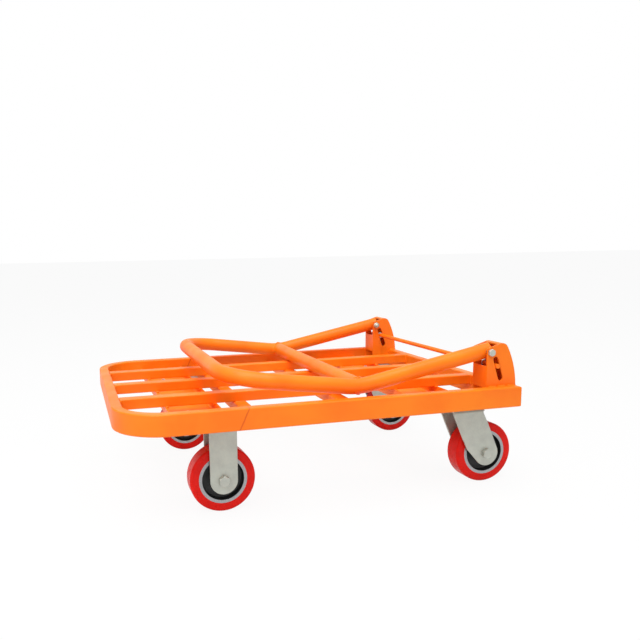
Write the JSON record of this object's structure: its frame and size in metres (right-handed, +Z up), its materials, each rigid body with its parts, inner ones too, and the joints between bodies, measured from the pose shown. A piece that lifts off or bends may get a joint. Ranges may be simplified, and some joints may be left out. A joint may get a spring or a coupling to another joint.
{
  "type": "folding platform cart",
  "caption": "Slatted tubular steel platform cart with a fold-down handle held by a spring lock rod, fixed front casters and swivel rear casters.",
  "frame": {"origin": "on the ground under the middle of the whole cart, handle folded", "axes": "+X to the handle end, +Y to the right-hand side, +Z up"},
  "size_m": [0.8124, 0.6, 0.2963],
  "materials": {
    "powder_coat_orange": "semi-gloss powder coat",
    "zinc_plate": "satin zinc plate",
    "bright_steel": "bright machined",
    "spring_steel": "oiled wire",
    "black_iron": "black paint on cast iron, bare rim edges",
    "tread_polyurethane": "smooth moulded polyurethane",
    "black_plastic": "matte"
  },
  "bodies": {
    "deck": {"deck_frame": "powder_coat_orange", "rear_crossmember": "powder_coat_orange", "slat_left": "powder_coat_orange", "slat_middle": "powder_coat_orange", "slat_right": "powder_coat_orange", "front_bearer": "powder_coat_orange", "front_cross_tube": "powder_coat_orange", "middle_cross_tube": "powder_coat_orange", "rear_bearer": "powder_coat_orange", "hinge_bracket_left": "powder_coat_orange", "hinge_bracket_right": "powder_coat_orange", "pivot_bolts": "zinc_plate", "pivot_nuts": "zinc_plate", "caster_bolts": "zinc_plate", "caster_nuts": "zinc_plate", "fixed_plate_left": "zinc_plate", "fixed_plate_right": "zinc_plate", "fixed_fork_left": "zinc_plate", "fixed_fork_right": "zinc_plate", "front_axle_bolts": "zinc_plate", "front_axle_nuts": "zinc_plate", "swivel_plate_left": "zinc_plate", "swivel_plate_right": "zinc_plate", "front_axle_sleeves": "bright_steel", "swivel_balls": "bright_steel", "kingpins": "bright_steel", "thrust_washers": "bright_steel", "kingpin_nuts": "bright_steel", "lock_spring_left": "spring_steel", "lock_spring_right": "spring_steel"},
    "handle": {"handle_tube": "powder_coat_orange", "handle_brace": "powder_coat_orange", "pivot_bushes": "bright_steel"},
    "lock": {"lock_rod": "powder_coat_orange", "rod_clips": "zinc_plate"},
    "swivel_left": {"swivel_fork_left": "zinc_plate", "rear_left_sleeve": "bright_steel", "rear_left_axle_bolt": "zinc_plate", "rear_left_axle_nut": "zinc_plate"},
    "swivel_right": {"swivel_fork_right": "zinc_plate", "rear_right_sleeve": "bright_steel", "rear_right_axle_bolt": "zinc_plate", "rear_right_axle_nut": "zinc_plate"},
    "wheel_front_left": {"front_left_tread": "tread_polyurethane", "front_left_core": "black_iron", "front_left_bearings": "bright_steel", "front_left_guards": "black_plastic"},
    "wheel_front_right": {"front_right_tread": "tread_polyurethane", "front_right_core": "black_iron", "front_right_bearings": "bright_steel", "front_right_guards": "black_plastic"},
    "wheel_rear_left": {"rear_left_tread": "tread_polyurethane", "rear_left_core": "black_iron", "rear_left_bearings": "bright_steel", "rear_left_guards": "black_plastic"},
    "wheel_rear_right": {"rear_right_tread": "tread_polyurethane", "rear_right_core": "black_iron", "rear_right_bearings": "bright_steel", "rear_right_guards": "black_plastic"}
  },
  "joints": [
    {"name": "handle_fold", "type": "hinge", "parent": "deck", "child": "handle", "pos_m": [0.31675, 0, 0.279], "axis": [0, 1, 0], "range_deg": [0, 100]},
    {"name": "lock_rod_press", "type": "slide", "parent": "deck", "child": "lock", "axis": [0.2944, 0, -0.9557], "range_m": [0, 0.0244], "stiffness_N_per_m": 1200, "springref_m": -0.01, "deforming": ["lock_spring_left", "lock_spring_right"]},
    {"name": "front_left_wheel_spin", "type": "hinge", "parent": "deck", "child": "wheel_front_left", "pos_m": [-0.20825, -0.208, 0.0625], "axis": [0, 1, 0], "continuous": true},
    {"name": "front_right_wheel_spin", "type": "hinge", "parent": "deck", "child": "wheel_front_right", "pos_m": [-0.20825, 0.208, 0.0625], "axis": [0, 1, 0], "continuous": true},
    {"name": "left_caster_swivel", "type": "hinge", "parent": "deck", "child": "swivel_left", "pos_m": [0.31125, -0.208, 0.154], "axis": [0, 0, 1], "continuous": true},
    {"name": "rear_left_wheel_spin", "type": "hinge", "parent": "swivel_left", "child": "wheel_rear_left", "pos_m": [0.34375, -0.208, 0.0625], "axis": [0, 1, 0], "continuous": true},
    {"name": "right_caster_swivel", "type": "hinge", "parent": "deck", "child": "swivel_right", "pos_m": [0.31125, 0.208, 0.154], "axis": [0, 0, 1], "continuous": true},
    {"name": "rear_right_wheel_spin", "type": "hinge", "parent": "swivel_right", "child": "wheel_rear_right", "pos_m": [0.34375, 0.208, 0.0625], "axis": [0, 1, 0], "continuous": true}
  ]
}
